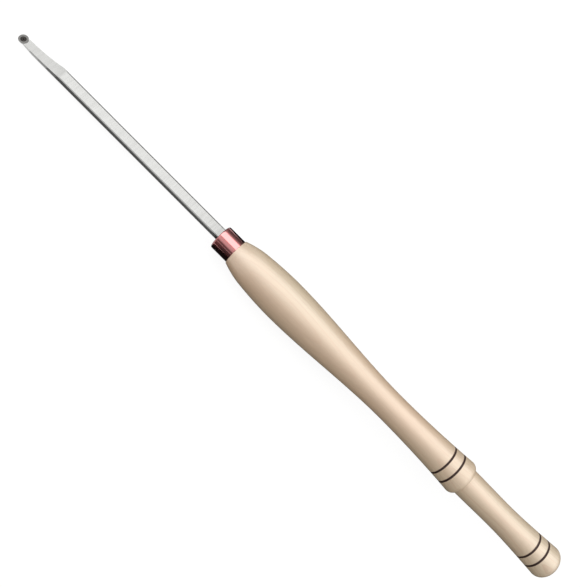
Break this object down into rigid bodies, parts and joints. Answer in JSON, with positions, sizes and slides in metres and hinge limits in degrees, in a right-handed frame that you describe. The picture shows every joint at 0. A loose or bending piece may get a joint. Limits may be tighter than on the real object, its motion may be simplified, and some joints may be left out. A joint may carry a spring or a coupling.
{
  "type": "hollowing tool",
  "caption": "Straight hollowing tool for a wood lathe: square steel bar with a screwed-on round carbide cutter, metal ferrule and long turned wooden handle.",
  "frame": {"origin": "on the handle's axis, in the plane where the ferrule meets the handle's front shoulder", "axes": "+X along the handle's axis towards the butt, so the cutter lies at -X; +Z is the way the cutter's face looks"},
  "size_m": [0.7077, 0.0432, 0.0432],
  "materials": {
    "bar_steel": "satin ground stainless steel",
    "carbide": "finely ground tungsten carbide",
    "screw_steel": "plain steel",
    "ferrule_metal": "polished and dyed dark red",
    "epoxy": "cured adhesive",
    "handle_wood": "clear satin lacquer on pale maple, with burned grooves"
  },
  "bodies": {
    "body": {"tool_bar": "bar_steel", "ferrule": "ferrule_metal", "tang_adhesive": "epoxy", "handle": "handle_wood"},
    "cutter": {"cutter": "carbide"},
    "screw": {"cutter_screw": "screw_steel"}
  },
  "joints": [
    {"name": "cutter_turn", "type": "hinge", "parent": "body", "child": "cutter", "pos_m": [-0.283, 0, 0], "axis": [0, 0, 1], "continuous": true},
    {"name": "cutter_screw_out", "type": "slide", "parent": "body", "child": "screw", "axis": [0, 0, 1], "range_m": [0, 0.009]}
  ]
}
